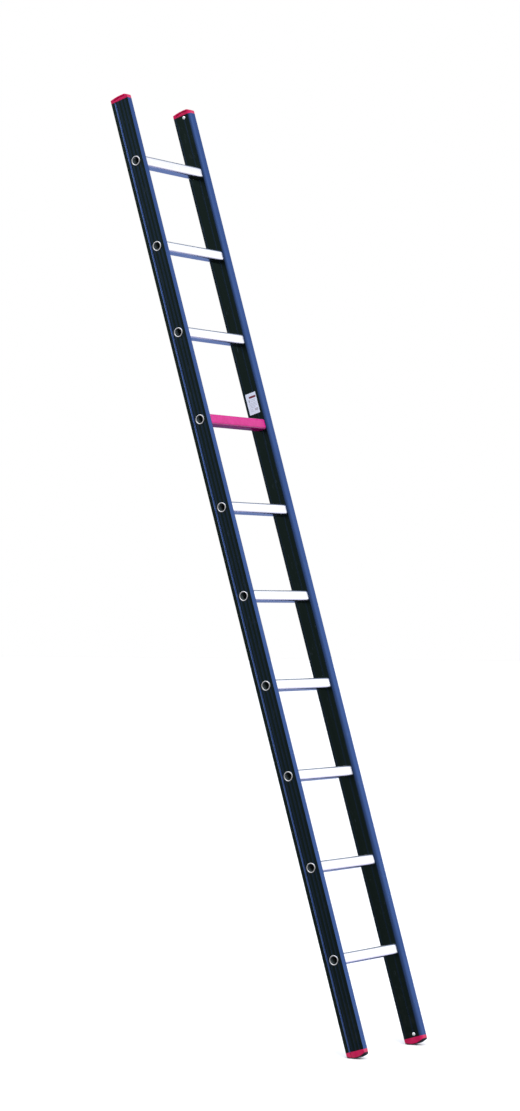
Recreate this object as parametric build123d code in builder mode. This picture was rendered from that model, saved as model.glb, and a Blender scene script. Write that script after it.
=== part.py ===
from build123d import *
import os
from math import asin, ceil, cos, degrees, radians, sin, sqrt

# A straight single-section ladder, standing as it is used: its feet on the floor and its top leaning
# back. All sizes are in millimetres.
#
# Row frame: X runs along the rungs, -Y is the climber's side, +Z is up. The origin is on the floor,
# midway between the two lines on which the feet stand.
#
# The pieces are drawn in the ladder's own upright coordinates: x along the rungs, depth from the rungs'
# axes towards the wall, height up the stiles from their lower ends. The plane called ladder carries
# these coordinates into the row frame, so every piece is made in its leaning place.

# ---- the whole ladder --------------------------------------------------------------------------------
RUNG_COUNT = 10
SAFE_RUNG_FROM_TOP = 4      # the highest rung to stand on, coated red
RUNG_PITCH = 250.0
OVERALL_WIDTH = 340.0       # over the stiles' outer faces
BELOW_FIRST_RUNG = 242.0    # stile's lower end to the lowest rung's axis
ABOVE_LAST_RUNG = 180.0     # highest rung's axis to the stile's upper end
LEAN = 16.3                 # degrees from the vertical in use

# ---- stiles: hollow extrusions -----------------------------------------------------------------------
STILE_WIDTH = 27.0          # outer face to inner face
FRONT_DEPTH = 22.5          # rung axis to the front face
BACK_DEPTH = 33.5           # rung axis to the back face
STILE_WALL = 1.8
EDGE_RADIUS = 1.8
INNER_FRONT_RADIUS = 10.0
GROOVE_START = 18.5         # guide groove's square front wall, behind the rung axis
GROOVE_MOUTH = 4.7
GROOVE_FLOOR = 2.6
GROOVE_DEPTH = 3.2
FLUTE_PITCH = 11.6          # shallow decorative flutes, one on the rung axis and one each side
FLUTE_WIDTH = 4.2
FLUTE_DEPTH = 0.45
INNER_FLUTE_PLACES = (0.0, 28.0)
INNER_FLUTE_WIDTH = 3.0
INNER_FLUTE_DEPTH = 0.3

# ---- rungs: square tubes, necked and flared at both ends ----------------------------------------------
RUNG_SIZE = 30.0
RUNG_RADIUS = 6.5
RUNG_WALL = 2.4
SHOULDER_RADIUS = 2.2
NECK_STEP = 3.2             # the neck's surface lies this far inside the square's flats
NECK_WALL = 1.5
NECK_CLEARANCE = 0.05
FLARE_OVERHANG = 1.9
FLARE_HEIGHT = 2.3
FLARE_LIP = 0.7             # the flare's height at the bore's edge
RIB_GROOVES = 5
RIB_GROOVE_PITCH = 3.6
RIB_GROOVE_WIDTH = 1.5
RIB_GROOVE_DEPTH = 0.8

# ---- plugs of the caps and feet ----------------------------------------------------------------------
PLUG_CLEARANCE = 0.15
PLUG_WALL = 2.4
PLUG_LENGTH = 30.0

# ---- top caps ----------------------------------------------------------------------------------------
CAP_BACK_HEIGHT = 10.0      # heights above the stile's end
CAP_ARCH_HEIGHT = 13.6      # half-way along the arch
CAP_CROWN_HEIGHT = 13.4     # where the arch meets the front facet
CAP_FRONT_HEIGHT = 9.0
CAP_FACET_LENGTH = 8.5      # the sloping front facet, measured along the depth
CAP_BEND_RADIUS = 5.0
CAP_EDGE_RADIUS = 1.6
SCOOP_BACK_MARGIN = 7.5     # finger scoops in both sides, lens-shaped: from the back face,
SCOOP_FRONT_MARGIN = 8.0    # and from the front face
SCOOP_BACK_HEIGHT = 5.8     # the lens's two points, above the stile's end
SCOOP_FRONT_HEIGHT = 8.8
SCOOP_RISE = 3.0            # the lens's arcs, above and below the line between its points
SCOOP_FALL = 3.8
SCOOP_RUN_OUT = 1.6         # the hollow's deepest line and its edge lie this far past the lens
SCOOP_DEPTH = 2.8

# ---- feet --------------------------------------------------------------------------------------------
ROCKER_RADIUS = 56.0
ROCKER_DEPTH = 16.5         # stile's end to the lowest point of the foot's underside
FOOT_EDGE_CHAMFER = 0.6
TREAD_INSET = 0.5
TREAD_BASE = 1.2
TREAD_RIB_HEIGHT = 1.4
TREAD_RIB_PITCH = 5.5
TREAD_SLOT_WIDTH = 2.3
PEG_OFFSET = 14.0           # from the middle of the foot
PEG_RADIUS = 4.0
PEG_LENGTH = 6.0
PEG_CLEARANCE = 0.1

# ---- rivets and label --------------------------------------------------------------------------------
RIVET_FROM_END = 8.0
RIVET_HEAD_RADIUS = 4.8
RIVET_HEAD_HEIGHT = 2.0
RIVET_SHANK_RADIUS = 2.4
RIVET_CLEARANCE = 0.05
RIVET_BULB_RADIUS = 3.4
RIVET_BULB_LENGTH = 4.0
RIVET_DOME_RADIUS = 3.45     # a point of the head's dome, between the dimple and the rim
RIVET_DOME_HEIGHT = 1.4
RIVET_DIMPLE_RADIUS = 1.2
RIVET_DIMPLE_DEPTH = 1.2
LABEL_WIDTH = 34.0
LABEL_HEIGHT = 61.0
LABEL_THICKNESS = 0.25
LABEL_RADIUS = 1.5
LABEL_ABOVE_RUNG = 37.0     # red rung's axis to the label's lower edge
LABEL_MIDDLE = 9.0          # behind the rung axis

# ---- sizes that follow -------------------------------------------------------------------------------
stile_length = BELOW_FIRST_RUNG + (RUNG_COUNT - 1) * RUNG_PITCH + ABOVE_LAST_RUNG
outer_face = OVERALL_WIDTH / 2
inner_face = outer_face - STILE_WIDTH
section_middle = (BACK_DEPTH - FRONT_DEPTH) / 2
section_depth = FRONT_DEPTH + BACK_DEPTH
safe_rung = RUNG_COUNT - SAFE_RUNG_FROM_TOP + 1
neck_radius = RUNG_SIZE / 2 - NECK_STEP
bore_radius = neck_radius - NECK_WALL
flare_radius = neck_radius + FLARE_OVERHANG
rivet_hole_radius = RIVET_SHANK_RADIUS + RIVET_CLEARANCE
rocker_centre = ROCKER_RADIUS - ROCKER_DEPTH
tread_radius = ROCKER_RADIUS + TREAD_BASE + TREAD_RIB_HEIGHT
peg_rise = ROCKER_RADIUS - sqrt(ROCKER_RADIUS**2 - PEG_OFFSET**2)
peg_root = peg_rise - ROCKER_DEPTH
over = 60.0                 # how far cutting and trimming shapes run past the piece
SIDE_FACE_LIMIT = 0.3       # a face whose normal rises or falls less than this is a side face


# ---- the ladder's own coordinates --------------------------------------------------------------------
lean = radians(LEAN)
upright = Plane(origin=(0, 0, 0), x_dir=(1, 0, 0), z_dir=(0, sin(lean), cos(lean)))
contact_depth = section_middle + tread_radius * sin(lean)
contact_height = rocker_centre - tread_radius * cos(lean)
floor_point = upright.from_local_coords((0, contact_depth, contact_height))
ladder = Plane(origin=-floor_point, x_dir=upright.x_dir, z_dir=upright.z_dir)
side_view = Plane(origin=ladder.origin, x_dir=ladder.y_dir, z_dir=ladder.x_dir)


def across(height):
    """The plane square to the stiles at a height: its x runs along the rungs, its y is depth."""
    return ladder.offset(height)


def rung_height(number):
    """Height of a rung's axis, the lowest rung being number 1."""
    return BELOW_FIRST_RUNG + (number - 1) * RUNG_PITCH


def axis_along_rungs(depth, height):
    """The line along the rungs through a point of the side view."""
    return Axis(ladder.from_local_coords((0, depth, height)), ladder.x_dir)


def stile_outline(side, grooved=True):
    """The stile's outer outline, for the left (-1) or the right (+1) side."""
    outer = side * outer_face
    inner = side * inner_face
    groove = [
        (outer, GROOVE_START),
        (outer - side * GROOVE_DEPTH, GROOVE_START),
        (outer - side * GROOVE_DEPTH, GROOVE_START + GROOVE_FLOOR),
        (outer, GROOVE_START + GROOVE_MOUTH),
    ]
    corners = [(inner, -FRONT_DEPTH), (outer, -FRONT_DEPTH)]
    corners += groove if grooved else []
    corners += [(outer, BACK_DEPTH), (inner, BACK_DEPTH)]
    with BuildSketch() as outline:
        with BuildLine():
            Polyline(*corners, close=True)
        make_face()
        front = outline.vertices().group_by(Axis.Y)[0].sort_by(Axis.X)
        back = outline.vertices().group_by(Axis.Y)[-1]
        inner_corner = front[0] if side > 0 else front[-1]
        outer_corner = front[-1] if side > 0 else front[0]
        fillet(inner_corner, min(INNER_FRONT_RADIUS, STILE_WIDTH / 2 - EDGE_RADIUS))
        fillet([outer_corner, *back], EDGE_RADIUS)
    return outline.sketch


def inside_stile(side, distance):
    """The outline that lies a distance inside the stile's outer outline."""
    with BuildSketch() as inside:
        add(stile_outline(side))
        offset(amount=-distance, kind=Kind.INTERSECTION, mode=Mode.REPLACE)
    return inside.sketch


def flute_cuts(face, outward, places, width, depth):
    """Round cutters that leave flutes of a width and depth in a face at x = face."""
    radius = (width**2 / 4 + depth**2) / (2 * depth)
    with BuildSketch() as cuts:
        with Locations(*[(face + outward * (radius - depth), place) for place in places]):
            Circle(radius)
    return cuts.sketch


def rivet_hole(side, height):
    """A hole from the stile's inner side to its middle, on the rungs' centre plane."""
    with BuildPart() as hole:
        with BuildSketch(side_view.offset(side * (inner_face - over))):
            with Locations((0, height)):
                Circle(rivet_hole_radius)
        extrude(amount=side * (over + STILE_WIDTH / 2))
    return hole.part


def make_stile(side):
    """Hollow extrusion with its groove, flutes, rung holes and rivet holes."""
    flutes = [n * FLUTE_PITCH for n in (-1, 0, 1)]
    rungs = [(0, rung_height(n)) for n in range(1, RUNG_COUNT + 1)]
    with BuildPart() as stile:
        with BuildSketch(across(0)):
            add(stile_outline(side))
            add(inside_stile(side, STILE_WALL), mode=Mode.SUBTRACT)
            outer_cuts = flute_cuts(side * outer_face, side, flutes, FLUTE_WIDTH, FLUTE_DEPTH)
            add(outer_cuts, mode=Mode.SUBTRACT)
            inner_cuts = flute_cuts(
                side * inner_face, -side, INNER_FLUTE_PLACES, INNER_FLUTE_WIDTH, INNER_FLUTE_DEPTH
            )
            add(inner_cuts, mode=Mode.SUBTRACT)
        extrude(amount=stile_length)
        with BuildSketch(side_view):
            with Locations(*rungs):
                Circle(neck_radius + NECK_CLEARANCE)
        extrude(amount=side * OVERALL_WIDTH, mode=Mode.SUBTRACT)
        add(rivet_hole(side, RIVET_FROM_END), mode=Mode.SUBTRACT)
        add(rivet_hole(side, stile_length - RIVET_FROM_END), mode=Mode.SUBTRACT)
    return stile.part


def make_rung(number):
    """Square tube with a ribbed tread, shouldered against the stiles and flared over outside them."""
    height = rung_height(number)
    rib_cuts = [
        ((n - (RIB_GROOVES - 1) / 2) * RIB_GROOVE_PITCH, height + RUNG_SIZE / 2)
        for n in range(RIB_GROOVES)
    ]
    flare_middle = (bore_radius + flare_radius) / 2
    with BuildPart() as rung:
        with BuildSketch(side_view):
            with Locations((0, height)):
                RectangleRounded(RUNG_SIZE, RUNG_SIZE, RUNG_RADIUS)
        extrude(amount=inner_face, both=True)
        fillet(rung.faces().filter_by(Axis.X).edges(), SHOULDER_RADIUS)
        with BuildSketch(side_view):
            with Locations(*rib_cuts):
                Rectangle(RIB_GROOVE_WIDTH, 2 * RIB_GROOVE_DEPTH)
        extrude(amount=inner_face - 2 * SHOULDER_RADIUS, both=True, mode=Mode.SUBTRACT)
        with BuildSketch(side_view):
            with Locations((0, height)):
                Circle(neck_radius)
        extrude(amount=outer_face, both=True)
        with BuildSketch(side_view):
            with Locations((0, height)):
                RectangleRounded(
                    RUNG_SIZE - 2 * RUNG_WALL, RUNG_SIZE - 2 * RUNG_WALL, RUNG_RADIUS - RUNG_WALL
                )
        extrude(amount=inner_face - 2 * RUNG_WALL, both=True, mode=Mode.SUBTRACT)
        with BuildSketch(side_view):
            with Locations((0, height)):
                Circle(bore_radius)
        extrude(amount=outer_face, both=True, mode=Mode.SUBTRACT)
        with BuildSketch(across(height)):
            with BuildLine():
                Line((outer_face, bore_radius), (outer_face, flare_radius))
                ThreePointArc(
                    (outer_face, flare_radius),
                    (outer_face + FLARE_HEIGHT, flare_middle),
                    (outer_face + FLARE_LIP, bore_radius),
                )
                Line((outer_face + FLARE_LIP, bore_radius), (outer_face, bore_radius))
            make_face()
            mirror(about=Plane.YZ)
        revolve(axis=axis_along_rungs(0, height))
    return rung.part


def plug_tongue(side, foot_height, length):
    """The hollow tongue that fills the stile's end, from a height along a signed length."""
    with BuildPart() as tongue:
        with BuildSketch(across(foot_height)):
            add(inside_stile(side, STILE_WALL + PLUG_CLEARANCE))
            add(inside_stile(side, STILE_WALL + PLUG_CLEARANCE + PLUG_WALL), mode=Mode.SUBTRACT)
        extrude(amount=length)
    return tongue.part


def cap_profile():
    """The cap seen from the side, above the stile's end: an arched crown and a sloping front facet."""
    bend = CAP_FACET_LENGTH - FRONT_DEPTH
    end = stile_length
    with BuildSketch() as profile:
        with BuildLine():
            Line((BACK_DEPTH, end), (BACK_DEPTH, end + CAP_BACK_HEIGHT))
            ThreePointArc(
                (BACK_DEPTH, end + CAP_BACK_HEIGHT),
                ((BACK_DEPTH + bend) / 2, end + CAP_ARCH_HEIGHT),
                (bend, end + CAP_CROWN_HEIGHT),
            )
            Line((bend, end + CAP_CROWN_HEIGHT), (-FRONT_DEPTH, end + CAP_FRONT_HEIGHT))
            Line((-FRONT_DEPTH, end + CAP_FRONT_HEIGHT), (-FRONT_DEPTH, end))
            Line((-FRONT_DEPTH, end), (BACK_DEPTH, end))
        make_face()
        fillet(profile.vertices().sort_by(Axis.Y)[-1], CAP_BEND_RADIUS)
    return profile.sketch


def cap_scoop(face, inward):
    """A lens-shaped finger scoop in a side of the cap, deepest under the crown and shallow below."""
    back = Vector(BACK_DEPTH - SCOOP_BACK_MARGIN, stile_length + SCOOP_BACK_HEIGHT)
    front = Vector(SCOOP_FRONT_MARGIN - FRONT_DEPTH, stile_length + SCOOP_FRONT_HEIGHT)
    along = (front - back).normalized()
    up = Vector(along.Y, -along.X)
    middle = (back + front) / 2
    reach = SCOOP_RISE + SCOOP_FALL + 2 * SCOOP_RUN_OUT
    roller = (reach**2 + SCOOP_DEPTH**2) / (2 * SCOOP_DEPTH)
    top = middle + up * SCOOP_RISE
    deepest = top + up * SCOOP_RUN_OUT
    roller_x = face + inward * (SCOOP_DEPTH - roller)
    roller_centre = ladder.from_local_coords((roller_x, deepest.X, deepest.Y))
    roller_line = side_view.from_local_coords(front) - side_view.from_local_coords(back)
    with BuildPart() as scoop:
        with BuildSketch(side_view.offset(face - over)):
            with BuildLine():
                ThreePointArc(back, top, front)
                ThreePointArc(back, middle - up * SCOOP_FALL, front)
            make_face()
        extrude(amount=2 * over)
        with BuildSketch(Plane(origin=roller_centre, x_dir=ladder.x_dir, z_dir=roller_line)):
            Circle(roller)
        extrude(amount=over, both=True, mode=Mode.INTERSECT)
    return scoop.part


def make_cap(side):
    """Top cap: a crowned head over the stile's end, scooped on both sides, on a hollow tongue."""
    with BuildPart() as cap:
        with BuildSketch(across(stile_length)):
            add(stile_outline(side, grooved=False))
        extrude(amount=over)
        with BuildSketch(side_view):
            add(cap_profile())
        extrude(amount=OVERALL_WIDTH, both=True, mode=Mode.INTERSECT)
        upper = cap.faces().filter_by(lambda face: face.normal_at().dot(ladder.z_dir) > SIDE_FACE_LIMIT)
        fillet(upper.edges(), CAP_EDGE_RADIUS)
        add(cap_scoop(side * outer_face, -side), mode=Mode.SUBTRACT)
        add(cap_scoop(side * inner_face, side), mode=Mode.SUBTRACT)
        add(plug_tongue(side, stile_length, -PLUG_LENGTH))
        add(rivet_hole(side, stile_length - RIVET_FROM_END), mode=Mode.SUBTRACT)
    return cap.part


def peg_places():
    """The tread's two pegs, in a plane square to the stiles."""
    return [section_middle - PEG_OFFSET, section_middle + PEG_OFFSET]


def make_foot(side):
    """Foot: a rocker-shaped block under the stile's end, on a hollow tongue, with holes for the pegs."""
    stile_middle = side * (outer_face + inner_face) / 2
    with BuildPart() as foot:
        with BuildSketch(across(0)):
            add(stile_outline(side))
        extrude(amount=-over)
        with BuildSketch(side_view):
            with Locations((section_middle, rocker_centre)):
                Circle(ROCKER_RADIUS)
            with Locations((section_middle, -over / 2)):
                Rectangle(2 * section_depth, over, mode=Mode.INTERSECT)
        extrude(amount=OVERALL_WIDTH, both=True, mode=Mode.INTERSECT)
        under = foot.faces().filter_by(lambda face: face.normal_at().dot(ladder.z_dir) < -SIDE_FACE_LIMIT)
        chamfer(under.edges(), FOOT_EDGE_CHAMFER)
        with BuildSketch(across(peg_root - TREAD_BASE)):
            with Locations(*[(stile_middle, place) for place in peg_places()]):
                Circle(PEG_RADIUS + PEG_CLEARANCE)
        extrude(amount=TREAD_BASE + PEG_LENGTH + 2 * PEG_CLEARANCE, mode=Mode.SUBTRACT)
        add(plug_tongue(side, 0, PLUG_LENGTH))
        add(rivet_hole(side, RIVET_FROM_END), mode=Mode.SUBTRACT)
    return foot.part


def make_tread(side):
    """Rubber sole: a curved band under the foot, ribbed across, one rib standing on the floor line."""
    stile_middle = side * (outer_face + inner_face) / 2
    step = degrees(TREAD_RIB_PITCH / tread_radius)
    widest = LEAN + degrees(asin(section_depth / 2 / tread_radius))
    slots = 2 * ceil(widest / step)
    first = LEAN - 90 - (slots - 1) / 2 * step
    with BuildPart() as tread:
        with BuildSketch(across(0)):
            add(stile_outline(side))
            offset(amount=-TREAD_INSET, kind=Kind.INTERSECTION, mode=Mode.REPLACE)
        extrude(amount=-over)
        with BuildSketch(side_view):
            with Locations((section_middle, rocker_centre)):
                Circle(tread_radius)
                Circle(ROCKER_RADIUS, mode=Mode.SUBTRACT)
                with PolarLocations(tread_radius, slots, first, slots * step):
                    Rectangle(2 * TREAD_RIB_HEIGHT, TREAD_SLOT_WIDTH, mode=Mode.SUBTRACT)
        extrude(amount=OVERALL_WIDTH, both=True, mode=Mode.INTERSECT)
        with BuildSketch(across(peg_root - TREAD_BASE / 2)):
            with Locations(*[(stile_middle, place) for place in peg_places()]):
                Circle(PEG_RADIUS)
        extrude(amount=TREAD_BASE / 2 + PEG_LENGTH)
    return tread.part


def make_rivet(side, height):
    """Set blind rivet: a domed head on the stile's inner face and a bulb inside the plug's tongue."""
    grip = STILE_WALL + PLUG_CLEARANCE + PLUG_WALL
    dimple = RIVET_DIMPLE_DEPTH - RIVET_HEAD_HEIGHT
    bulb = grip + RIVET_BULB_LENGTH - RIVET_BULB_RADIUS
    half = RIVET_BULB_RADIUS * sqrt(0.5)
    inner_web = ladder.from_local_coords((side * inner_face, 0, height))
    with BuildPart() as rivet:
        with BuildSketch(Plane(origin=inner_web, x_dir=ladder.x_dir * side, z_dir=ladder.z_dir * side)):
            with BuildLine():
                Polyline(
                    (dimple, 0),
                    (dimple, RIVET_DIMPLE_RADIUS),
                    (-RIVET_HEAD_HEIGHT, RIVET_DIMPLE_RADIUS),
                )
                ThreePointArc(
                    (-RIVET_HEAD_HEIGHT, RIVET_DIMPLE_RADIUS),
                    (-RIVET_DOME_HEIGHT, RIVET_DOME_RADIUS),
                    (0, RIVET_HEAD_RADIUS),
                )
                Polyline(
                    (0, RIVET_HEAD_RADIUS),
                    (0, RIVET_SHANK_RADIUS),
                    (grip, RIVET_SHANK_RADIUS),
                    (grip, RIVET_BULB_RADIUS),
                    (bulb, RIVET_BULB_RADIUS),
                )
                ThreePointArc(
                    (bulb, RIVET_BULB_RADIUS), (bulb + half, half), (bulb + RIVET_BULB_RADIUS, 0)
                )
                Line((bulb + RIVET_BULB_RADIUS, 0), (dimple, 0))
            make_face()
        revolve(axis=axis_along_rungs(0, height))
    return rivet.part


def make_label():
    """Sticker on the right stile's inner face, above the red rung."""
    middle = rung_height(safe_rung) + LABEL_ABOVE_RUNG + LABEL_HEIGHT / 2
    with BuildPart() as label:
        with BuildSketch(side_view.offset(inner_face)):
            with Locations((LABEL_MIDDLE, middle)):
                RectangleRounded(LABEL_WIDTH, LABEL_HEIGHT, LABEL_RADIUS)
        extrude(amount=-LABEL_THICKNESS)
    return label.part


def save(part, name):
    """Label a finished piece and write it to a file of its own."""
    part.label = name
    export_step(part, f"parts/{name}.step")


# ---- make every piece --------------------------------------------------------------------------------
os.makedirs("parts", exist_ok=True)
for name, side in (("left", -1), ("right", 1)):
    save(make_stile(side), f"stile_{name}")
    save(make_cap(side), f"top_cap_{name}")
    save(make_foot(side), f"foot_{name}")
    save(make_tread(side), f"foot_tread_{name}")
    save(make_rivet(side, stile_length - RIVET_FROM_END), f"cap_rivet_{name}")
    save(make_rivet(side, RIVET_FROM_END), f"foot_rivet_{name}")
for number in range(1, RUNG_COUNT + 1):
    save(make_rung(number), f"rung_{number}")
save(make_label(), "label")
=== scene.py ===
"""Looks of a straight aluminium ladder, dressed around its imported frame.

The ladder leans as it does in use. Its metal, plastic and rubber pieces keep the frame's shapes and get
procedural finishes here; the label gets a finer surface of its own. Colours and lights are matched to each
other, so the finishes look different in other light. Everything is in metres, in the row's frame: X along
the rungs, -Y on the climber's side, +Z up.
"""

import logging
import math
from dataclasses import dataclass, field
from enum import Enum

import bpy
import numpy as np
from mathutils import Matrix, Vector


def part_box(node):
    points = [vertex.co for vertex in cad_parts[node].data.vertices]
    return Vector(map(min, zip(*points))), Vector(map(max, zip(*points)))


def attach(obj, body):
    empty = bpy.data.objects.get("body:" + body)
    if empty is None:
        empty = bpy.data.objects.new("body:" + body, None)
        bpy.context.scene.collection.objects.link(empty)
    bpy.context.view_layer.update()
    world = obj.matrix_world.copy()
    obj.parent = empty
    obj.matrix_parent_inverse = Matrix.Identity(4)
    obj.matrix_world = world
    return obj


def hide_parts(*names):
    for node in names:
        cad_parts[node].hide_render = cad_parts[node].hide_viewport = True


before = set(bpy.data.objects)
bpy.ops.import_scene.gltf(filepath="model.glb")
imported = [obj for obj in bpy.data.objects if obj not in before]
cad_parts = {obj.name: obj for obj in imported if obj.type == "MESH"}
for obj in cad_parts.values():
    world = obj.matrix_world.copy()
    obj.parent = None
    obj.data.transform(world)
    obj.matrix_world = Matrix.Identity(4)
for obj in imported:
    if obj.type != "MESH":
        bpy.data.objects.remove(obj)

Colour = tuple[float, float, float, float]
Triple = tuple[float, float, float]
Socket = bpy.types.NodeSocket

MM = 0.001
BODY = "root"
MIX_FACTOR = 0
MIX_NUMBERS = (2, 3)
MIX_COLOURS = (6, 7)
MIX_COLOUR_OUT = 2
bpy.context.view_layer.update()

logging.basicConfig(level=logging.INFO, format="%(message)s")
log = logging.getLogger("ladder")


class Side(Enum):
    """The two stiles, by the sign of their X."""

    LEFT = -1
    RIGHT = 1

    @property
    def word(self) -> str:
        """The side's word in the frame's node names."""
        return self.name.lower()


class Plug(Enum):
    """The two moulded plugs of a stile, by the word in their nodes' names."""

    CAP = "cap"
    FOOT = "foot"


# ---- the ladder's own coordinates ----------------------------------------------------------------------


@dataclass(frozen=True)
class LadderSpace:
    """Upright coordinates of the leaning ladder: along the rungs, depth to the wall, height up the stiles.

    Depth and height are measured from the lowest rung's axis.
    """

    lowest: Vector
    lean: float
    pitch: float
    rungs: int

    @classmethod
    def from_frame(cls) -> "LadderSpace":
        """Read the rungs' places in the frame.

        Returns:
            The coordinates whose height runs through the rungs' middles.
        """
        names = [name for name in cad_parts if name.startswith("rung_")]
        count = len(names)
        middles = []
        for number in (1, count):
            low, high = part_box(f"rung_{number}")
            middles.append((Vector(low) + Vector(high)) / 2)
        rise = middles[1] - middles[0]
        return cls(middles[0], math.atan2(rise.y, rise.z), rise.length / (count - 1), count)

    def to_row(self) -> Matrix:
        """The matrix that carries a point in ladder coordinates into the row's frame."""
        return Matrix.Translation(self.lowest) @ Matrix.Rotation(-self.lean, 4, "X")

    def place(self, points: np.ndarray) -> np.ndarray:
        """Carry an array of points from ladder coordinates into the row's frame.

        Args:
            points: The points, shape (n, 3).

        Returns:
            The same points in the row's frame.
        """
        carry = np.array(self.to_row())
        return points @ carry[:3, :3].T + carry[:3, 3]


# ---- node trees ----------------------------------------------------------------------------------------


class Graph:
    """Short-hand for adding nodes to one node tree and joining them."""

    def __init__(self, tree: bpy.types.NodeTree) -> None:
        """Keep the tree that the nodes go into."""
        self.tree = tree

    def node(self, kind: str, **settings: object) -> bpy.types.Node:
        """Add a node.

        Args:
            kind: The node's type name.
            settings: Attributes to set on it.

        Returns:
            The new node.
        """
        made = self.tree.nodes.new(kind)
        for name, value in settings.items():
            setattr(made, name, value)
        return made

    def feed(self, into: Socket, value: object) -> None:
        """Join a socket to an input, or set the input's own value.

        Args:
            into: The input.
            value: A socket, a plain value, or None to leave the input alone.
        """
        if isinstance(value, bpy.types.NodeSocket):
            self.tree.links.new(value, into)
        elif value is not None:
            into.default_value = value

    def math(self, operation: str, first: object, second: object = None, third: object = None) -> Socket:
        """A Math node's result.

        Args:
            operation: The operation's name.
            first: The first input, a socket or a number.
            second: The second input.
            third: The third input.

        Returns:
            The result's socket.
        """
        made = self.node("ShaderNodeMath", operation=operation)
        for into, value in zip(made.inputs, (first, second, third)):
            self.feed(into, value)
        return made.outputs[0]

    def smooth(self, value: Socket, start: float, end: float) -> Socket:
        """A smooth step from 0 to 1.

        Args:
            value: The value's socket.
            start: Where the step is 0.
            end: Where the step is 1, which may be the lower of the two.

        Returns:
            The step's socket.
        """
        made = self.node("ShaderNodeMapRange", interpolation_type="SMOOTHSTEP", clamp=True)
        low, high, at_low, at_high = (start, end, 0.0, 1.0) if start < end else (end, start, 1.0, 0.0)
        self.feed(made.inputs["Value"], value)
        made.inputs["From Min"].default_value = low
        made.inputs["From Max"].default_value = high
        made.inputs["To Min"].default_value = at_low
        made.inputs["To Max"].default_value = at_high
        return made.outputs["Result"]

    def span(self, value: Socket, low: object, high: object) -> Socket:
        """Stretch a value from 0..1 to low..high.

        Args:
            value: The value's socket.
            low: What 0 becomes.
            high: What 1 becomes.

        Returns:
            The stretched value's socket.
        """
        made = self.node("ShaderNodeMapRange", clamp=True)
        self.feed(made.inputs["Value"], value)
        self.feed(made.inputs["To Min"], low)
        self.feed(made.inputs["To Max"], high)
        return made.outputs["Result"]

    def mix(self, factor: object, first: object, second: object) -> Socket:
        """Mix two colours by a factor.

        Args:
            factor: 0 for the first colour, 1 for the second.
            first: A colour or its socket.
            second: A colour or its socket.

        Returns:
            The mixed colour's socket.
        """
        made = self.node("ShaderNodeMix", data_type="RGBA")
        self.feed(made.inputs[MIX_FACTOR], factor)
        for place, colour in zip(MIX_COLOURS, (first, second)):
            self.feed(made.inputs[place], colour)
        return made.outputs[MIX_COLOUR_OUT]

    def blend(self, factor: object, first: object, second: object) -> Socket:
        """Mix two numbers by a factor.

        Args:
            factor: 0 for the first number, 1 for the second.
            first: A number or its socket.
            second: A number or its socket.

        Returns:
            The mixed number's socket.
        """
        made = self.node("ShaderNodeMix")
        self.feed(made.inputs[MIX_FACTOR], factor)
        for place, number in zip(MIX_NUMBERS, (first, second)):
            self.feed(made.inputs[place], number)
        return made.outputs[0]

    def noise(self, vector: Socket, scale: float, detail: float = 3.0, rough: float = 0.55) -> Socket:
        """A noise texture's value.

        Args:
            vector: The vector that it is read at.
            scale: Its scale.
            detail: Its number of finer layers.
            rough: How strong the finer layers are.

        Returns:
            The value's socket.
        """
        made = self.node("ShaderNodeTexNoise")
        self.feed(made.inputs["Vector"], vector)
        made.inputs["Scale"].default_value = scale
        made.inputs["Detail"].default_value = detail
        made.inputs["Roughness"].default_value = rough
        return made.outputs["Fac"]

    def stretched(self, vector: Socket, factors: object) -> Socket:
        """A vector multiplied axis by axis.

        Args:
            vector: The vector's socket.
            factors: Three factors, or their socket.

        Returns:
            The product's socket.
        """
        made = self.node("ShaderNodeVectorMath", operation="MULTIPLY")
        self.feed(made.inputs[0], vector)
        self.feed(made.inputs[1], factors)
        return made.outputs[0]

    def split(self, vector: Socket) -> tuple[Socket, Socket, Socket]:
        """The three components of a vector.

        Args:
            vector: The vector's socket.

        Returns:
            The sockets of its X, Y and Z.
        """
        made = self.node("ShaderNodeSeparateXYZ")
        self.feed(made.inputs[0], vector)
        return made.outputs[0], made.outputs[1], made.outputs[2]

    def ladder_point(self, space: LadderSpace) -> Socket:
        """The surface point in ladder coordinates, from the Object coordinates.

        Args:
            space: The ladder's coordinates.

        Returns:
            The point's socket: along the rungs, depth and height.
        """
        inverse = space.to_row().inverted()
        made = self.node("ShaderNodeMapping")
        self.feed(made.inputs["Vector"], self.node("ShaderNodeTexCoord").outputs["Object"])
        made.inputs["Location"].default_value = inverse.to_translation()
        made.inputs["Rotation"].default_value = (space.lean, 0.0, 0.0)
        return made.outputs["Vector"]

    def ladder_normal(self, space: LadderSpace) -> Socket:
        """The surface normal turned into ladder coordinates.

        Args:
            space: The ladder's coordinates.

        Returns:
            The normal's socket.
        """
        made = self.node("ShaderNodeMapping", vector_type="NORMAL")
        self.feed(made.inputs["Vector"], self.node("ShaderNodeTexCoord").outputs["Normal"])
        made.inputs["Rotation"].default_value = (space.lean, 0.0, 0.0)
        return made.outputs["Vector"]


def new_group(name: str, inputs: dict[str, float | Triple | Colour], outputs: dict[str, str]) -> Graph:
    """Start a shader node group with named sockets.

    Args:
        name: The group's name.
        inputs: Each input's name and default: a number, a vector of three or a colour of four.
        outputs: Each output's name and socket type.

    Returns:
        The graph of the new, empty group.
    """
    tree = bpy.data.node_groups.new(name, "ShaderNodeTree")
    kinds = {1: "NodeSocketFloat", 3: "NodeSocketVector", 4: "NodeSocketColor"}
    for label, value in inputs.items():
        size = 1 if isinstance(value, float) else len(value)
        made = tree.interface.new_socket(label, in_out="INPUT", socket_type=kinds[size])
        made.default_value = value
    for label, kind in outputs.items():
        tree.interface.new_socket(label, in_out="OUTPUT", socket_type=kind)
    return Graph(tree)


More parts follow.
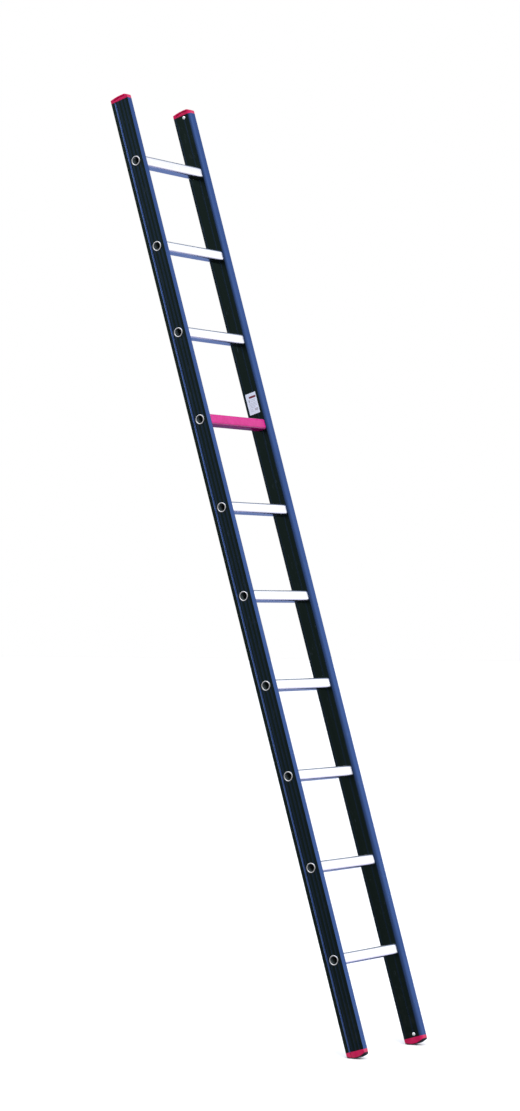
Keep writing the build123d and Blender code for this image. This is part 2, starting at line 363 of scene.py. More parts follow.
class SharedEffects:
    """The node groups that more than one finish uses, each built once.

    A span is the pair of values between which a step rises from 0 to 1.
    """

    wide_lines: Triple = (0.18, 0.18, 0.18)
    line_span = (0.34, 0.66)
    smudge_span = (0.42, 0.72)
    scratch_turn: Triple = (0.5, 0.35, 0.9)
    scratch_scale: Triple = (900.0, 900.0, 45.0)
    scratch_span = (0.68, 0.74)
    patches_per_metre = 26.0
    patch_span = (0.52, 0.62)
    cell_weight = 0.8
    grit_per_metre = 2400.0
    tones_per_metre = 60.0
    tone_span = (0.35, 0.65)
    upward_span = (0.55, 1.0)
    upward_weight = 0.35
    dust_per_metre = 55.0
    dust_span = (0.38, 0.75)

    def __init__(self, space: LadderSpace) -> None:
        """Build every group.

        Args:
            space: The ladder's coordinates.
        """
        self.space = space
        self.drawn = self._drawn_lines()
        self.handled = self._handling()
        self.grain = self._grain()
        self.dust = self._dust()

    def _drawn_lines(self) -> bpy.types.NodeTree:
        """Fine lines that a die leaves along an extrusion: noise squeezed across and drawn out along it.

        Returns:
            The group, with outputs Mask, 0 to 1, and Height.
        """
        inputs = {"Stretch": (600.0, 600.0, 2.0), "Coarse": 0.25}
        graph = new_group("drawn lines", inputs, {"Mask": "NodeSocketFloat", "Height": "NodeSocketFloat"})
        given, result = graph.node("NodeGroupInput"), graph.node("NodeGroupOutput")
        point = graph.ladder_point(self.space)
        fine = graph.noise(graph.stretched(point, given.outputs["Stretch"]), 1.0, 2.0)
        wide_point = graph.stretched(graph.stretched(point, given.outputs["Stretch"]), self.wide_lines)
        wide = graph.noise(wide_point, 1.0, 1.0)
        both = graph.blend(given.outputs["Coarse"], fine, wide)
        graph.feed(result.inputs["Mask"], graph.smooth(both, *self.line_span))
        graph.feed(result.inputs["Height"], both)
        return graph.tree

    def _handling(self) -> bpy.types.NodeTree:
        """Hand marks and small rubs: broad clouds broken up by short fine scratches.

        Returns:
            The group, with outputs Smudge and Scratch, both 0 to 1.
        """
        inputs = {"Cloud Size": 0.08, "Scratch Amount": 0.5}
        outputs = {"Smudge": "NodeSocketFloat", "Scratch": "NodeSocketFloat"}
        graph = new_group("handling", inputs, outputs)
        given, result = graph.node("NodeGroupInput"), graph.node("NodeGroupOutput")
        point = graph.ladder_point(self.space)
        inverse = graph.math("DIVIDE", 1.0, given.outputs["Cloud Size"])
        scaled = graph.node("ShaderNodeVectorMath", operation="SCALE")
        graph.feed(scaled.inputs[0], point)
        graph.feed(scaled.inputs["Scale"], inverse)
        cloud = graph.noise(scaled.outputs[0], 1.0, 4.0, 0.6)
        graph.feed(result.inputs["Smudge"], graph.smooth(cloud, *self.smudge_span))
        turned = graph.node("ShaderNodeMapping")
        graph.feed(turned.inputs["Vector"], point)
        turned.inputs["Rotation"].default_value = self.scratch_turn
        turned.inputs["Scale"].default_value = self.scratch_scale
        cut = graph.noise(turned.outputs["Vector"], 1.0, 1.0)
        thin = graph.smooth(cut, *self.scratch_span)
        patch = graph.smooth(graph.noise(point, self.patches_per_metre, 2.0), *self.patch_span)
        scratch = graph.math("MULTIPLY", graph.math("MULTIPLY", thin, patch), given.outputs["Scratch Amount"])
        graph.feed(result.inputs["Scratch"], scratch)
        return graph.tree

    def _grain(self) -> bpy.types.NodeTree:
        """Even skin of a coat or a moulding: fine rounded cells with a little noise over them.

        Returns:
            The group, with outputs Height and Tone, both 0 to 1.
        """
        inputs = {"Cells Per Metre": 900.0}
        graph = new_group("grain", inputs, {"Height": "NodeSocketFloat", "Tone": "NodeSocketFloat"})
        given, result = graph.node("NodeGroupInput"), graph.node("NodeGroupOutput")
        point = graph.ladder_point(self.space)
        cells = graph.node("ShaderNodeTexVoronoi", feature="SMOOTH_F1")
        graph.feed(cells.inputs["Vector"], point)
        graph.feed(cells.inputs["Scale"], given.outputs["Cells Per Metre"])
        fine = graph.noise(point, self.grit_per_metre, 2.0)
        height = graph.math("ADD", graph.math("MULTIPLY", cells.outputs["Distance"], self.cell_weight), fine)
        tone = graph.smooth(graph.noise(point, self.tones_per_metre, 4.0), *self.tone_span)
        graph.feed(result.inputs["Height"], height)
        graph.feed(result.inputs["Tone"], tone)
        return graph.tree

    def _dust(self) -> bpy.types.NodeTree:
        """Pale dust: thickest near the floor and on faces that look up, broken by clouds.

        Returns:
            The group, with the output Mask, 0 to 1.
        """
        inputs = {"Amount": 0.5, "Floor Reach": 0.12}
        graph = new_group("dust", inputs, {"Mask": "NodeSocketFloat"})
        given, result = graph.node("NodeGroupInput"), graph.node("NodeGroupOutput")
        seen = graph.node("ShaderNodeTexCoord")
        _, _, above = graph.split(seen.outputs["Object"])
        _, _, facing = graph.split(seen.outputs["Normal"])
        low = graph.math("SUBTRACT", 1.0, graph.math("DIVIDE", above, given.outputs["Floor Reach"]))
        near_floor = graph.math("MAXIMUM", low, 0.0)
        upward = graph.math("MULTIPLY", graph.smooth(facing, *self.upward_span), self.upward_weight)
        cloud = graph.noise(seen.outputs["Object"], self.dust_per_metre, 5.0, 0.65)
        cloud = graph.smooth(cloud, *self.dust_span)
        where = graph.math("ADD", near_floor, upward)
        amount = graph.math("MULTIPLY", graph.math("MULTIPLY", where, cloud), given.outputs["Amount"])
        graph.feed(result.inputs["Mask"], graph.math("MINIMUM", amount, 1.0))
        return graph.tree


class Finish:
    """One material: its graph, its Principled BSDF and the ways that effects reach it."""

    def __init__(self, name: str, effects: SharedEffects) -> None:
        """Start an empty material with a Principled BSDF.

        Args:
            name: The material's name.
            effects: The shared node groups.
        """
        self.effects = effects
        self.material = bpy.data.materials.new(name)
        self.material.use_nodes = True
        self.graph = Graph(self.material.node_tree)
        self.shader = self.material.node_tree.nodes["Principled BSDF"]

    def effect(self, tree: bpy.types.NodeTree, **values: object) -> bpy.types.Node:
        """Place a shared effect in this material.

        Args:
            tree: The effect's node group.
            values: Its inputs' values; an underscore stands for a space.

        Returns:
            The group node.
        """
        made = self.graph.node("ShaderNodeGroup", node_tree=tree)
        for name, value in values.items():
            self.graph.feed(made.inputs[name.replace("_", " ")], value)
        return made

    def set(self, **values: object) -> None:
        """Set or feed the shader's inputs; an underscore stands for a space."""
        for name, value in values.items():
            self.graph.feed(self.shader.inputs[name.replace("_", " ")], value)

    def bump(self, height: Socket, distance: float, strength: float, below: Socket | None = None) -> Socket:
        """A Bump node over a height.

        Args:
            height: The height's socket.
            distance: The relief's size in metres.
            strength: The bump's strength.
            below: A normal to lay it over.

        Returns:
            The bumped normal's socket.
        """
        made = self.graph.node("ShaderNodeBump")
        made.inputs["Distance"].default_value = distance
        made.inputs["Strength"].default_value = strength
        self.graph.feed(made.inputs["Height"], height)
        self.graph.feed(made.inputs["Normal"], below)
        return made.outputs["Normal"]


# ---- finishes ------------------------------------------------------------------------------------------


@dataclass(frozen=True)
class StileCoat:
    """Dark satin extrusion, coloured by which way each face turns: the webs near-black as painted shade, the
    flanges and rounded edges blue as painted reflection, and the grooves a paler blue as a painted highlight.
    """

    shaded_web: Colour = (0.0186, 0.032, 0.0290, 1.0)
    lit_flange: Colour = (0.050, 0.098, 0.268, 1.0)
    groove_highlight: Colour = (0.240, 0.380, 0.720, 1.0)
    edge_tint: Colour = (0.50, 0.52, 0.62, 1.0)
    worn: Colour = (0.20, 0.26, 0.38, 1.0)
    dust: Colour = (0.30, 0.30, 0.30, 1.0)
    roughness: tuple[float, float] = (0.27, 0.40)
    outer_face: float = 0.170
    groove_front: float = 18.5 * MM
    groove_mouth: float = 4.7 * MM
    groove_depth: float = 3.2 * MM
    soft: float = 0.1 * MM
    lit_facing_span: tuple[float, float] = (0.05, 0.55)
    line_stretch: Triple = (1500.0, 1500.0, 2.0)
    line_shade: tuple[float, float] = (0.88, 1.06)
    line_relief: tuple[float, float] = (0.04 * MM, 0.30)

    def groove_highlight_mask(self, graph: Graph, space: LadderSpace) -> Socket:
        """1 on the walls and floor of the guide grooves, which get a paler blue as a painted highlight, and 0
        elsewhere.

        Args:
            graph: The material's graph.
            space: The ladder's coordinates.

        Returns:
            The mask's socket.
        """
        along, depth, _ = graph.split(graph.ladder_point(space))
        reach = graph.math("ABSOLUTE", along)
        floor = self.outer_face - self.groove_depth - self.soft
        back = self.groove_front + self.groove_mouth
        steps = (
            graph.smooth(reach, self.outer_face - self.soft, self.outer_face - 2 * self.soft),
            graph.smooth(reach, floor - self.soft, floor),
            graph.smooth(depth, self.groove_front - 2 * self.soft, self.groove_front - self.soft),
            graph.smooth(depth, back, back - self.soft),
        )
        mask = steps[0]
        for step in steps[1:]:
            mask = graph.math("MULTIPLY", mask, step)
        return mask

    def build(self, effects: SharedEffects) -> bpy.types.Material:
        """Make the material.

        Args:
            effects: The shared node groups.

        Returns:
            The finished material.
        """
        finish = Finish("stile_coat", effects)
        graph = finish.graph
        _, facing, _ = graph.split(graph.ladder_normal(effects.space))
        # Painted reflection and shade: faces turned to the front or back get the blue of the light that they
        # reflect, and faces turned sideways get the near-black of shade.
        lit_facing_mask = graph.smooth(graph.math("ABSOLUTE", facing), *self.lit_facing_span)
        lines = finish.effect(effects.drawn, Stretch=self.line_stretch, Coarse=0.4)
        marks = finish.effect(effects.handled, Cloud_Size=0.11, Scratch_Amount=0.35)
        dust = finish.effect(effects.dust, Amount=0.05, Floor_Reach=0.25)
        painted_groove_highlight = self.groove_highlight_mask(graph, effects.space)
        lit_and_shaded_coat = graph.mix(lit_facing_mask, self.shaded_web, self.lit_flange)
        shade = graph.node("ShaderNodeVectorMath", operation="SCALE")
        # The grooves' walls and floor get a paler blue as a painted highlight.
        graph.feed(shade.inputs[0], graph.mix(painted_groove_highlight, lit_and_shaded_coat, self.groove_highlight))
        graph.feed(shade.inputs["Scale"], graph.span(lines.outputs["Mask"], *self.line_shade))
        colour = shade.outputs[0]
        colour = graph.mix(marks.outputs["Scratch"], colour, self.worn)
        finish.set(
            Base_Color=graph.mix(dust.outputs["Mask"], colour, self.dust),
            Metallic=graph.math("SUBTRACT", 1.0, dust.outputs["Mask"]),
            Roughness=graph.span(marks.outputs["Smudge"], *self.roughness),
            Normal=finish.bump(lines.outputs["Height"], *self.line_relief),
            Specular_Tint=self.edge_tint,
        )
        return finish.material


@dataclass(frozen=True)
class MillAluminium:
    """Bare extruded aluminium, bright, with drawn lines along the rung and a coat where one is given."""

    name: str = "rung_metal"
    metal: Colour = (0.93, 0.93, 0.95, 1.0)
    dull: Colour = (0.80, 0.80, 0.84, 1.0)
    oxide: Colour = (0.10, 0.13, 0.14, 1.0)
    coat: Colour | None = None
    coat_light: Colour = (0.58, 0.005, 0.225, 1.0)
    coated_half: float = 0.143
    mouth: float = 0.170
    wall_middle: float = 0.0134
    soft: float = 0.2 * MM
    flare_soft: float = 0.3 * MM
    stretch: Triple = (3.0, 1400.0, 1400.0)
    roughness: tuple[float, float] = (0.18, 0.32)
    coat_roughness: tuple[float, float] = (0.30, 0.42)
    oxide_metallic: float = 0.25
    line_relief: tuple[float, float] = (0.03 * MM, 0.30)
    coat_relief: tuple[float, float] = (0.05 * MM, 0.25)
    coat_edge: float = 1.2 * MM

    def build(self, effects: SharedEffects) -> bpy.types.Material:
        """Make the material.

        Args:
            effects: The shared node groups.

        Returns:
            The finished material.
        """
        finish = Finish(self.name, effects)
        graph = finish.graph
        lines = finish.effect(effects.drawn, Stretch=self.stretch, Coarse=0.3)
        marks = finish.effect(effects.handled, Cloud_Size=0.05, Scratch_Amount=0.6)
        bare = graph.mix(lines.outputs["Mask"], self.metal, self.dull)
        bare = graph.mix(marks.outputs["Scratch"], bare, self.dull)
        along, depth, height = graph.split(graph.ladder_point(effects.space))
        reach = graph.math("ABSOLUTE", along)
        above = graph.math("PINGPONG", height, effects.space.pitch / 2)
        from_axis = graph.math("MAXIMUM", graph.math("ABSOLUTE", depth), above)
        outside = graph.smooth(from_axis, self.wall_middle - self.soft, self.wall_middle + self.soft)
        flared = graph.smooth(reach, self.mouth - self.soft, self.mouth + self.flare_soft)
        open_air = graph.math("MAXIMUM", outside, flared)
        bare = graph.mix(open_air, self.oxide, bare)
        metal_rough = graph.span(marks.outputs["Smudge"], *self.roughness)
        relief = finish.bump(lines.outputs["Height"], *self.line_relief)
        metallic = graph.span(open_air, self.oxide_metallic, 1.0)
        if self.coat is None:
            finish.set(Base_Color=bare, Metallic=metallic, Roughness=metal_rough, Normal=relief)
            return finish.material
        skin = finish.effect(effects.grain, Cells_Per_Metre=700.0)
        between = graph.smooth(reach, self.coated_half, self.coated_half - self.coat_edge)
        covered = graph.math("MULTIPLY", outside, between)
        colour = graph.mix(skin.outputs["Tone"], self.coat, self.coat_light)
        rubbed = graph.mix(marks.outputs["Scratch"], colour, self.coat_light)
        coat_rough = graph.span(marks.outputs["Smudge"], *self.coat_roughness)
        finish.set(
            Base_Color=graph.mix(covered, bare, rubbed),
            Metallic=graph.math("SUBTRACT", metallic, covered),
            Roughness=graph.blend(covered, metal_rough, coat_rough),
            Normal=finish.bump(skin.outputs["Height"], *self.coat_relief, relief),
            Specular_IOR_Level=0.25,
        )
        return finish.material


@dataclass(frozen=True)
class MouldedPlastic:
    """Crimson moulding of the caps and feet: lightly grained, a little paler where it is scuffed."""

    base: Colour = (0.60, 0.003, 0.092, 1.0)
    deep: Colour = (0.50, 0.002, 0.070, 1.0)
    scuffed: Colour = (0.72, 0.06, 0.16, 1.0)
    dust: Colour = (0.45, 0.36, 0.34, 1.0)
    roughness: tuple[float, float] = (0.32, 0.50)
    relief: tuple[float, float] = (0.06 * MM, 0.35)

    def build(self, effects: SharedEffects) -> bpy.types.Material:
        """Make the material.

        Args:
            effects: The shared node groups.

        Returns:
            The finished material.
        """
        finish = Finish("red_plastic", effects)
        graph = finish.graph
        skin = finish.effect(effects.grain, Cells_Per_Metre=1300.0)
        marks = finish.effect(effects.handled, Cloud_Size=0.02, Scratch_Amount=0.8)
        dust = finish.effect(effects.dust, Amount=0.10, Floor_Reach=0.05)
        colour = graph.mix(skin.outputs["Tone"], self.deep, self.base)
        colour = graph.mix(marks.outputs["Scratch"], colour, self.scuffed)
        finish.set(
            Base_Color=graph.mix(dust.outputs["Mask"], colour, self.dust),
            Roughness=graph.span(marks.outputs["Smudge"], *self.roughness),
            Normal=finish.bump(skin.outputs["Height"], *self.relief),
            Specular_IOR_Level=0.30,
        )
        return finish.material


@dataclass(frozen=True)
class SoleRubber:
    """Black rubber of the soles, dusty on the ribs that meet the floor."""

    base: Colour = (0.010, 0.010, 0.014, 1.0)
    bloom: Colour = (0.030, 0.029, 0.037, 1.0)
    dust: Colour = (0.30, 0.29, 0.27, 1.0)
    roughness: tuple[float, float] = (0.62, 0.85)
    relief: tuple[float, float] = (0.08 * MM, 0.4)

    def build(self, effects: SharedEffects) -> bpy.types.Material:
        """Make the material.

        Args:
            effects: The shared node groups.

        Returns:
            The finished material.
        """
        finish = Finish("sole_rubber", effects)
        graph = finish.graph
        skin = finish.effect(effects.grain, Cells_Per_Metre=1800.0)
        dust = finish.effect(effects.dust, Amount=0.3, Floor_Reach=0.012)
        colour = graph.mix(skin.outputs["Tone"], self.base, self.bloom)
        finish.set(
            Base_Color=graph.mix(dust.outputs["Mask"], colour, self.dust),
            Roughness=graph.span(skin.outputs["Tone"], *self.roughness),
            Normal=finish.bump(skin.outputs["Height"], *self.relief),
            Specular_IOR_Level=0.20,
        )
        return finish.material


@dataclass(frozen=True)
class RivetMetal:
    """Pale matt aluminium of the rivets, lightly clouded and set only partly metallic."""

    bright: Colour = (0.94, 0.97, 1.00, 1.0)
    dull: Colour = (0.80, 0.83, 0.88, 1.0)
    roughness: tuple[float, float] = (0.22, 0.38)
    relief: tuple[float, float] = (0.03 * MM, 0.25)

    def build(self, effects: SharedEffects) -> bpy.types.Material:
        """Make the material.

        Args:
            effects: The shared node groups.

        Returns:
            The finished material.
        """
        finish = Finish("rivet_metal", effects)
        graph = finish.graph
        marks = finish.effect(effects.handled, Cloud_Size=0.004, Scratch_Amount=0.9)
        skin = finish.effect(effects.grain, Cells_Per_Metre=2600.0)
        finish.set(
            Base_Color=graph.mix(marks.outputs["Smudge"], self.bright, self.dull),
            Metallic=0.4,
            Roughness=graph.span(marks.outputs["Smudge"], *self.roughness),
            Normal=finish.bump(skin.outputs["Height"], *self.relief),
        )
        return finish.material


@dataclass(frozen=True)
class PrintedFilm:
    """Cool white printed film of the label: a dark red bar, plain blocks and rows of thin grey bars."""

    width: float
    height: float
    paper: Colour = (0.71, 0.79, 0.97, 1.0)
    red: Colour = (0.15, 0.008, 0.025, 1.0)
    grey: Colour = (0.34, 0.36, 0.42, 1.0)
    ink: float = 0.8
    smudged: float = 0.08
    roughness: tuple[float, float] = (0.28, 0.44)
    relief: tuple[float, float] = (0.02 * MM, 0.15)
    edge: float = 0.4 * MM
    bars: tuple[tuple[float, float, float, float], ...] = (
        (0.05, 0.72, 0.150, 0.245),
        (0.70, 0.82, 0.300, 0.420),
        (0.12, 0.62, 0.315, 0.335),
        (0.18, 0.62, 0.385, 0.405),
        (0.10, 0.82, 0.470, 0.492),
        (0.16, 0.82, 0.535, 0.557),
        (0.10, 0.82, 0.600, 0.622),
        (0.30, 0.82, 0.665, 0.687),
        (0.10, 0.42, 0.740, 0.860),
        (0.50, 0.82, 0.745, 0.765),
        (0.54, 0.82, 0.800, 0.820),
        (0.50, 0.82, 0.855, 0.875),
    )

    def build(self, effects: SharedEffects) -> bpy.types.Material:
        """Make the material. Each bar is a box on the film's UV map: left, right, top and bottom.

        Args:
            effects: The shared node groups.

        Returns:
            The finished material.
        """
        finish = Finish("label_film", effects)
        graph = finish.graph
        across, up, _ = graph.split(graph.node("ShaderNodeTexCoord").outputs["UV"])
        down = graph.math("SUBTRACT", 1.0, up)
        soft_x, soft_y = self.edge / self.width, self.edge / self.height
        masks = []
        for left, right, top, bottom in self.bars:
            sides = graph.math(
                "MULTIPLY",
                graph.smooth(across, left - soft_x, left + soft_x),
                graph.smooth(across, right + soft_x, right - soft_x),
            )
            ends = graph.math(
                "MULTIPLY",
                graph.smooth(down, top - soft_y, top + soft_y),
                graph.smooth(down, bottom + soft_y, bottom - soft_y),
            )
            masks.append(graph.math("MULTIPLY", sides, ends))
        grey = masks[1]
        for mask in masks[2:]:
            grey = graph.math("MAXIMUM", grey, mask)
        marks = finish.effect(effects.handled, Cloud_Size=0.015, Scratch_Amount=0.4)
        skin = finish.effect(effects.grain, Cells_Per_Metre=2200.0)
        colour = graph.mix(graph.math("MULTIPLY", grey, self.ink), self.paper, self.grey)
        colour = graph.mix(masks[0], colour, self.red)
        smudge = graph.math("MULTIPLY", marks.outputs["Smudge"], self.smudged)
        finish.set(
            Base_Color=graph.mix(smudge, colour, self.grey),
            Roughness=graph.span(marks.outputs["Smudge"], *self.roughness),
            Normal=finish.bump(skin.outputs["Height"], *self.relief),
        )
        return finish.material


# ---- meshes --------------------------------------------------------------------------------------------


@dataclass(frozen=True)
class Grid:
    """A surface as a grid of points, shape (rows, columns, 3), that closes on itself along its columns."""

    points: np.ndarray

    def faces(self) -> np.ndarray:
        """The grid's quads: each point, the next in its row, and the two below them.

        Returns:
            Indices of the corners, shape (n, 4).
        """
        rows, columns = self.points.shape[:2]
        index = np.arange(rows * columns).reshape(rows, columns)
        index = np.concatenate([index, index[:, :1]], axis=1)
        quads = np.stack([index[:-1, :-1], index[:-1, 1:], index[1:, 1:], index[1:, :-1]], axis=-1)
        return quads.reshape(-1, 4)


def new_piece(name: str, points: np.ndarray, faces: list) -> bpy.types.Object:
    """Make a flat-shaded mesh object at the origin from points in the row's frame.

    Args:
        name: The piece's name.
        points: Its vertices, shape (n, 3).
        faces: Its faces, as lists of vertex numbers.

    Returns:
        The new object.
    """
    mesh = bpy.data.meshes.new(name)
    mesh.from_pydata(points.tolist(), [], [list(map(int, face)) for face in faces])
    mesh.update()
    piece = bpy.data.objects.new(name, mesh)
    bpy.context.collection.objects.link(piece)
    return piece


def finish_piece(piece: bpy.types.Object, material: bpy.types.Material, node: str) -> None:
    """Give a piece its material, its body and the node that it stands for.

    Args:
        piece: The piece.
        material: Its finish.
        node: The frame's node that it replaces.
    """
    piece.data.materials.append(material)
    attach(piece, BODY)
    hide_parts(node)
    log.info("%s: %d faces, stands for %s", piece.name, len(piece.data.polygons), node)


def dress(node: str, material: bpy.types.Material) -> None:
    """Give one of the frame's own nodes its finish in every material slot.

    Args:
        node: The node's name.
        material: Its finish.
    """
    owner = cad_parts[node]
    if not owner.material_slots:
        owner.data.materials.append(material)
    for slot in owner.material_slots:
        slot.material = material
    log.info("%s: dressed in %s", node, material.name)


# ---- sub-assemblies ------------------------------------------------------------------------------------


@dataclass
class Stile:
    """One stile with its cap, foot, sole and rivets."""

    side: Side

    def dress(self, finishes: "Wardrobe") -> None:
        """Dress the frame's nodes on this side.

        Args:
            finishes: The ladder's materials.
        """
        word = self.side.word
        dress(f"stile_{word}", finishes.coat)
        dress(f"top_cap_{word}", finishes.plastic)
        dress(f"foot_{word}", finishes.plastic)
        dress(f"foot_tread_{word}", finishes.rubber)
        for plug in Plug:
            dress(f"{plug.value}_rivet_{word}", finishes.rivet)


@dataclass
class Rungs:
    """The ten rungs, one of which is coated red."""

    space: LadderSpace
    safe_from_top: int = 4

    def dress(self, finishes: "Wardrobe") -> None:
        """Dress each rung in bare metal, and the highest safe one in its red coat.

        Args:
            finishes: The ladder's materials.
        """
        safe = self.space.rungs - self.safe_from_top + 1
        for number in range(1, self.space.rungs + 1):
            dress(f"rung_{number}", finishes.red_rung if number == safe else finishes.rung)


@dataclass
class Label:
    """The sticker on the right stile's inner face, as a thin film with softly turned edges."""

    space: LadderSpace
    corner: float = 1.5 * MM
    steps: int = 12
    lift: float = 0.03 * MM

    def outline(self, half_depth: float, half_height: float, inset: float) -> np.ndarray:
        """A rounded rectangle: at each corner a quarter turn of the corner's radius.

        Args:
            half_depth: Half of the film's width.
            half_height: Half of its height.
            inset: How far inside the film's edge the outline lies.

        Returns:
            Points in depth and height, shape (n, 2).
        """
        turns = np.arange(4)[:, None] * (math.pi / 2) + np.linspace(0, math.pi / 2, self.steps)[None, :]
        turns = turns.ravel()
        sign = np.array([[1, 1], [-1, 1], [-1, -1], [1, -1]]).repeat(self.steps, axis=0)
        core = np.array([half_depth - self.corner, half_height - self.corner])
        radius = self.corner - inset
        return sign * core + radius * np.stack([np.cos(turns), np.sin(turns)], axis=1)

    def build(self, finishes: "Wardrobe") -> bpy.types.Object:
        """Make the film between the frame's label box and give it a UV map across its face.

        Args:
            finishes: The ladder's materials.

        Returns:
            The label's object.
        """
        to_ladder = self.space.to_row().inverted()
        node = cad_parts["label"]
        corners = np.array([to_ladder @ v.co for v in node.data.vertices])
        low, high = corners.min(axis=0), corners.max(axis=0)
        middle = (low + high) / 2
        half = (high - low) / 2
        rings = []
        for inset, x in ((0.0, high[0]), (0.0, low[0] + self.lift), (self.lift * 2, low[0])):
            flat = self.outline(half[1], half[2], inset) + middle[1:]
            rings.append(np.column_stack([np.full(len(flat), x), flat]))
        count = len(rings[0])
        grid = Grid(np.stack(rings))
        faces = grid.faces().tolist()
        faces.append(list(range(2 * count, 3 * count)))
        faces.append(list(range(count))[::-1])
        points = grid.points.reshape(-1, 3)
        piece = new_piece("label_film", self.space.place(points), faces)
        layer = piece.data.uv_layers.new(name="film")
        corner_of = np.zeros(len(piece.data.loops), dtype=int)
        piece.data.loops.foreach_get("vertex_index", corner_of)
        uv = (points[corner_of][:, 1:] - low[1:]) / (high[1:] - low[1:])
        layer.data.foreach_set("uv", uv.astype(np.float32).ravel())
        finish_piece(piece, finishes.film, "label")
        return piece


@dataclass
class Wardrobe:
    """Every material of the ladder, built once."""

    effects: SharedEffects
    coat: bpy.types.Material = field(init=False)
    rung: bpy.types.Material = field(init=False)
    red_rung: bpy.types.Material = field(init=False)
    plastic: bpy.types.Material = field(init=False)
    rubber: bpy.types.Material = field(init=False)
    rivet: bpy.types.Material = field(init=False)
    film: bpy.types.Material = field(init=False)

    def __post_init__(self) -> None:
        """Build the materials from their finishes."""
        inner_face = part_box("stile_right")[0][0]
        label_low, label_high = (Vector(corner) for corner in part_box("label"))
        film_size = label_high - label_low
        self.coat = StileCoat(outer_face=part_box("stile_right")[1][0]).build(self.effects)
        self.rung = MillAluminium().build(self.effects)
        red = MillAluminium(
            name="red_coat",
            coat=(0.52, 0.002, 0.190, 1.0),
            coated_half=inner_face,
        )
        self.red_rung = red.build(self.effects)
        self.plastic = MouldedPlastic().build(self.effects)
        self.rubber = SoleRubber().build(self.effects)
        self.rivet = RivetMetal().build(self.effects)
        self.film = PrintedFilm(film_size.y, film_size.z).build(self.effects)


# ---- studio --------------------------------------------------------------------------------------------


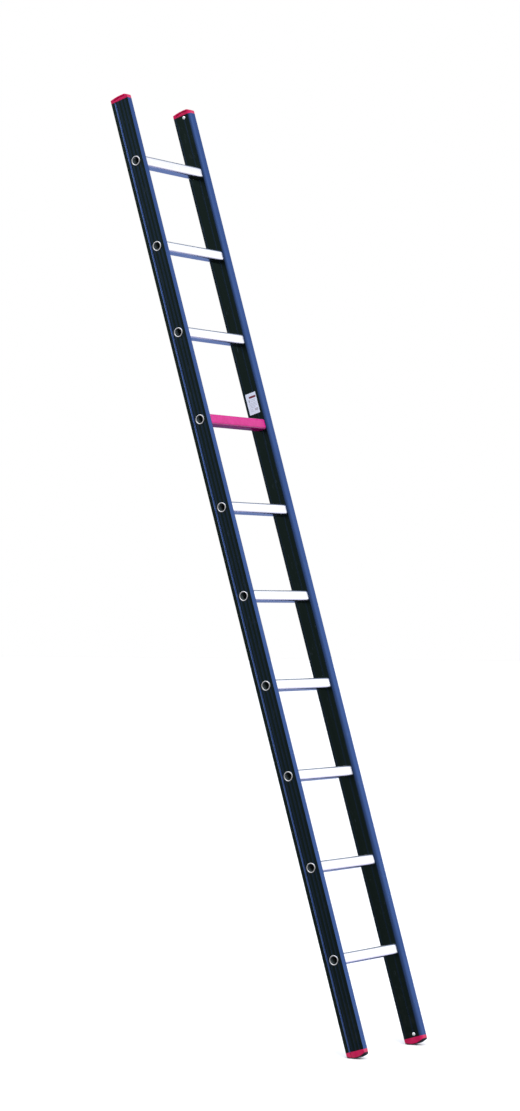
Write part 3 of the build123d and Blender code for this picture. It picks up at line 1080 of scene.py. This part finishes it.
@dataclass
class Studio:
    """Pale floor, soft lights and the camera."""

    eye: Triple = (-7.2612, -4.1320, 1.1659)
    look: Triple = (0.84887, 0.52827, 0.01883)
    lens: float = 101.06
    sensor: float = 36.0
    far_clip: float = 200.0
    floor_half: float = 60.0
    floor_colours: tuple[Colour, Colour] = ((0.90, 0.90, 0.91, 1.0), (0.93, 0.93, 0.94, 1.0))
    floor_roughness: float = 0.6
    floor_specular: float = 0.2
    backdrop: Colour = (1.0, 1.0, 1.0, 1.0)
    tent: tuple[tuple[float, Triple], ...] = (
        (-0.60, (0.400, 0.400, 0.400)),
        (-0.31, (0.420, 0.420, 0.420)),
        (-0.14, (0.480, 0.480, 0.490)),
        (-0.02, (0.580, 0.590, 0.600)),
        (0.15, (0.920, 0.930, 0.950)),
        (0.40, (1.250, 1.250, 1.250)),
        (0.55, (1.400, 1.400, 1.400)),
        (0.70, (1.300, 1.300, 1.320)),
        (0.81, (0.950, 0.980, 1.050)),
        (0.92, (0.220, 0.300, 0.440)),
        (1.20, (0.500, 0.550, 0.650)),
    )
    skirt: tuple[tuple[float, Triple], ...] = (
        (-0.60, (1.050, 1.030, 1.280)),
        (-0.30, (0.760, 0.750, 1.120)),
        (-0.04, (0.420, 0.500, 0.960)),
        (0.22, (0.210, 0.290, 0.600)),
        (0.45, (0.110, 0.170, 0.380)),
    )
    low_left: Colour = (0.12, 0.12, 0.13, 1.0)
    overhead: float = 1.2
    rise_of_x: float = 0.5
    rise_of_y: float = 0.2
    skirt_side: tuple[float, float] = (0.0, 0.6)
    horizon: tuple[float, float] = (-0.30, -0.04)
    overhead_span: tuple[float, float] = (0.62, 0.92)
    softbox_at: Triple = (-4.5, -4.5, 4.5)
    softbox_aim: Triple = (0.0, 0.4, 1.4)
    softbox_size: float = 3.0
    softbox_power: float = 300.0

    def camera(self) -> bpy.types.Object:
        """Make the camera, level, with no shift and no depth of field.

        Returns:
            The camera's object.
        """
        data = bpy.data.cameras.new("camera")
        data.lens = self.lens
        data.sensor_width = self.sensor
        data.clip_end = self.far_clip
        camera = bpy.data.objects.new("camera", data)
        camera.location = self.eye
        camera.rotation_euler = Vector(self.look).to_track_quat("-Z", "Y").to_euler()
        bpy.context.collection.objects.link(camera)
        bpy.context.scene.camera = camera
        return camera

    def floor(self) -> None:
        """Lay the pale floor at the ladder's feet, faintly uneven in tone, out of reflections and bounces."""
        half = self.floor_half
        corners = np.array([[-half, -half, 0], [half, -half, 0], [half, half, 0], [-half, half, 0]], float)
        floor = new_piece("studio_floor", corners, [[0, 1, 2, 3]])
        material = bpy.data.materials.new("studio_floor")
        material.use_nodes = True
        graph = Graph(material.node_tree)
        shader = material.node_tree.nodes["Principled BSDF"]
        point = graph.node("ShaderNodeTexCoord").outputs["Object"]
        tone = graph.noise(point, 3.0, 3.0)
        graph.feed(shader.inputs["Base Color"], graph.mix(tone, *self.floor_colours))
        graph.feed(shader.inputs["Roughness"], self.floor_roughness)
        graph.feed(shader.inputs["Specular IOR Level"], self.floor_specular)
        floor.data.materials.append(material)
        floor.visible_glossy = False
        floor.visible_diffuse = False

    def ramp(self, graph: Graph, value: Socket, stops: tuple[tuple[float, Triple], ...]) -> Socket:
        """A colour that follows a value through a row of stops.

        Args:
            graph: The graph that the ramp goes into.
            value: The value's socket.
            stops: Each stop's value and colour, in rising order.

        Returns:
            The colour's socket.
        """
        first, last = stops[0][0], stops[-1][0]
        made = graph.node("ShaderNodeValToRGB")
        past_first = graph.math("SUBTRACT", value, first)
        graph.feed(made.inputs["Fac"], graph.math("DIVIDE", past_first, last - first))
        elements = made.color_ramp.elements
        while len(elements) < len(stops):
            elements.new(0.5)
        for element, (place, colour) in zip(elements, stops):
            element.position = (place - first) / (last - first)
            element.color = (*colour, 1.0)
        return made.outputs["Color"]

    def sky(self) -> None:
        """Light the studio: plain white to the camera, and a soft tent of light to everything else.

        The tent's walls follow a weighted sum of the direction's parts, half of its X, a fifth of its Y
        and all of its Z: they brighten from the low left upwards, and then fall to a dim blue band. Below
        the horizon the left is dark grey, and the right runs from lavender in front to dark blue behind.
        A wide soft panel lies overhead.
        """
        world = bpy.data.worlds.new("studio")
        bpy.context.scene.world = world
        world.use_nodes = True
        graph = Graph(world.node_tree)
        nodes = world.node_tree.nodes
        output = nodes["World Output"]
        seen = nodes["Background"]
        seen.inputs["Color"].default_value = self.backdrop
        seen.inputs["Strength"].default_value = 1.0
        x, y, z = graph.split(graph.node("ShaderNodeTexCoord").outputs["Generated"])
        sideways = graph.math("MULTIPLY", x, self.rise_of_x)
        forwards = graph.math("MULTIPLY", y, self.rise_of_y)
        rise = graph.math("ADD", graph.math("ADD", sideways, forwards), z)
        walls = self.ramp(graph, rise, self.tent)
        skirt = self.ramp(graph, y, self.skirt)
        low = graph.mix(graph.smooth(x, *self.skirt_side), self.low_left, skirt)
        round_about = graph.mix(graph.smooth(z, *self.horizon), low, walls)
        overhead = graph.math("MULTIPLY", graph.smooth(z, *self.overhead_span), self.overhead)
        tent = graph.node("ShaderNodeBackground")
        top = graph.node("ShaderNodeMix", data_type="RGBA", blend_type="ADD")
        top.inputs[MIX_FACTOR].default_value = 1.0
        for place, light in zip(MIX_COLOURS, (round_about, overhead)):
            graph.feed(top.inputs[place], light)
        graph.feed(tent.inputs["Color"], top.outputs[MIX_COLOUR_OUT])
        ray = graph.node("ShaderNodeLightPath")
        choose = graph.node("ShaderNodeMixShader")
        graph.feed(choose.inputs[0], ray.outputs["Is Camera Ray"])
        graph.feed(choose.inputs[1], tent.outputs[0])
        graph.feed(choose.inputs[2], seen.outputs[0])
        graph.feed(output.inputs["Surface"], choose.outputs[0])

    def lamp(self, name: str, at: Triple, aim: Triple, size: float, power: float) -> None:
        """Hang a square soft lamp.

        Args:
            name: The lamp's name.
            at: Where it hangs.
            aim: The point that it faces.
            size: Its side, in metres.
            power: Its power, in watts.
        """
        data = bpy.data.lights.new(name, "AREA")
        data.size = size
        data.energy = power
        lamp = bpy.data.objects.new(name, data)
        lamp.location = at
        lamp.rotation_euler = (Vector(aim) - Vector(at)).to_track_quat("-Z", "Y").to_euler()
        lamp.visible_glossy = False
        bpy.context.collection.objects.link(lamp)

    def build(self) -> None:
        """Set up the camera, the floor and the lights."""
        self.camera()
        self.floor()
        self.sky()
        self.lamp("front_softbox", self.softbox_at, self.softbox_aim, self.softbox_size, self.softbox_power)
        bpy.context.scene.view_settings.view_transform = "Standard"


def main() -> None:
    """Build the studio, dress the ladder and report each piece."""
    space = LadderSpace.from_frame()
    log.info("lean %.2f degrees, rung pitch %.1f mm", math.degrees(space.lean), space.pitch / MM)
    Studio().build()
    finishes = Wardrobe(SharedEffects(space))
    for side in Side:
        Stile(side).dress(finishes)
    Rungs(space).dress(finishes)
    Label(space).build(finishes)


if __name__ == "__main__":
    main()
